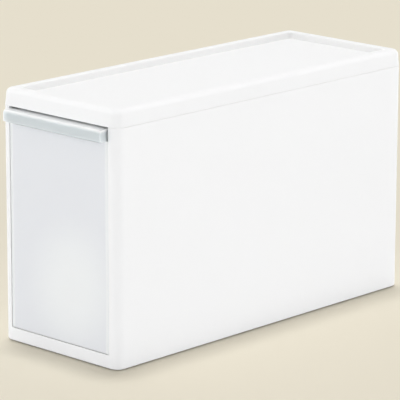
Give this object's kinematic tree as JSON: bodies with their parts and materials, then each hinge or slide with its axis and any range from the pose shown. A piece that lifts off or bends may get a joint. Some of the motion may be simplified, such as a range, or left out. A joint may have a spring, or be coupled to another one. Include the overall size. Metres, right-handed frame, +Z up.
{
  "type": "stackable drawer box",
  "caption": "Tall narrow stackable storage box: white moulded case, clip-on cap with a stacking recess, and a full-height translucent drawer with a hooked pull.",
  "frame": {"origin": "on the surface the box stands on, under the middle of its overall length and width", "axes": "+Z up, X across the front, -Y the way the drawer opens; the front is at -Y"},
  "size_m": [0.14, 0.378, 0.225],
  "materials": {
    "case_plastic": "satin",
    "drawer_plastic": "frosted translucent",
    "pull_plastic": "glossy translucent",
    "foot_rubber": "matt"
  },
  "bodies": {
    "case": {"body_shell": "case_plastic", "top_cap": "case_plastic", "foot_front_left": "foot_rubber", "foot_front_right": "foot_rubber", "foot_rear_left": "foot_rubber", "foot_rear_right": "foot_rubber"},
    "drawer": {"drawer_bin": "drawer_plastic", "pull_handle": "pull_plastic"}
  },
  "joints": [
    {"name": "drawer_slide", "type": "slide", "parent": "case", "child": "drawer", "axis": [0, -1, 0], "range_m": [0, 0.299]}
  ]
}
